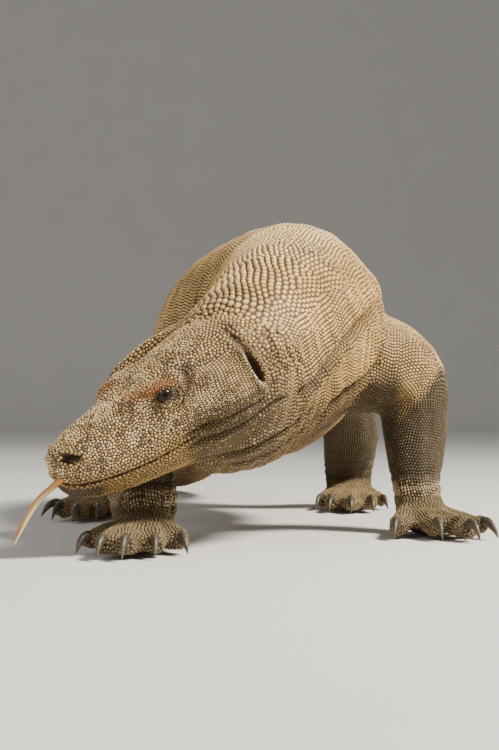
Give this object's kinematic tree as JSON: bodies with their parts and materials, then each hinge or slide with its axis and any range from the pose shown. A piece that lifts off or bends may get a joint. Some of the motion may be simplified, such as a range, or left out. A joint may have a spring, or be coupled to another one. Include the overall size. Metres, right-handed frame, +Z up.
{
  "type": "komodo dragon model",
  "caption": "Life-size model of a walking monitor lizard: low wide head turned to its right, forked tongue out, clawed feet on the floor, long tapering tail.",
  "frame": {"origin": "middle of the footprint on the floor: centre of the bounding box in X and Y, soles at z = 0", "axes": "+Z up, the animal walks towards -Y with its tail towards +Y, its own left side is +X"},
  "size_m": [0.6778, 2.4264, 0.3938],
  "materials": {
    "hide_light": "dry scaled hide, light tan on the neck, shoulders and upper arms",
    "hide_body": "dry scaled hide, tan-brown on the trunk and tail",
    "hide_head": "dry scaled hide, grey-brown with olive on the head and lower jaw",
    "hide_dark": "dry scaled hide, dark olive-brown on forearms, thighs and shanks",
    "hide_foot": "dry scaled hide, dark grey-brown on the hands and feet",
    "horn": "worn grey-brown horn of the claws",
    "eye": "wet dark eye",
    "tongue": "moist amber-yellow tongue"
  },
  "bodies": {
    "root": {"head": "hide_head", "lower_jaw": "hide_head", "neck": "hide_light", "shoulders": "hide_light", "belly": "hide_body", "hips": "hide_body", "tail_root": "hide_body", "tail_middle": "hide_body", "tail_tip": "hide_body", "upper_arm_left": "hide_light", "forearm_left": "hide_dark", "hand_left": "hide_foot", "upper_arm_right": "hide_light", "forearm_right": "hide_dark", "hand_right": "hide_foot", "thigh_left": "hide_dark", "shank_left": "hide_dark", "foot_left": "hide_foot", "thigh_right": "hide_dark", "shank_right": "hide_dark", "foot_right": "hide_foot", "eye_left": "eye", "eye_right": "eye", "tongue": "tongue", "claw_hand_left_1": "horn", "claw_hand_left_2": "horn", "claw_hand_left_3": "horn", "claw_hand_left_4": "horn", "claw_hand_left_5": "horn", "claw_hand_right_1": "horn", "claw_hand_right_2": "horn", "claw_hand_right_3": "horn", "claw_hand_right_4": "horn", "claw_hand_right_5": "horn", "claw_foot_left_1": "horn", "claw_foot_left_2": "horn", "claw_foot_left_3": "horn", "claw_foot_left_4": "horn", "claw_foot_left_5": "horn", "claw_foot_right_1": "horn", "claw_foot_right_2": "horn", "claw_foot_right_3": "horn", "claw_foot_right_4": "horn", "claw_foot_right_5": "horn"}
  },
  "joints": []
}
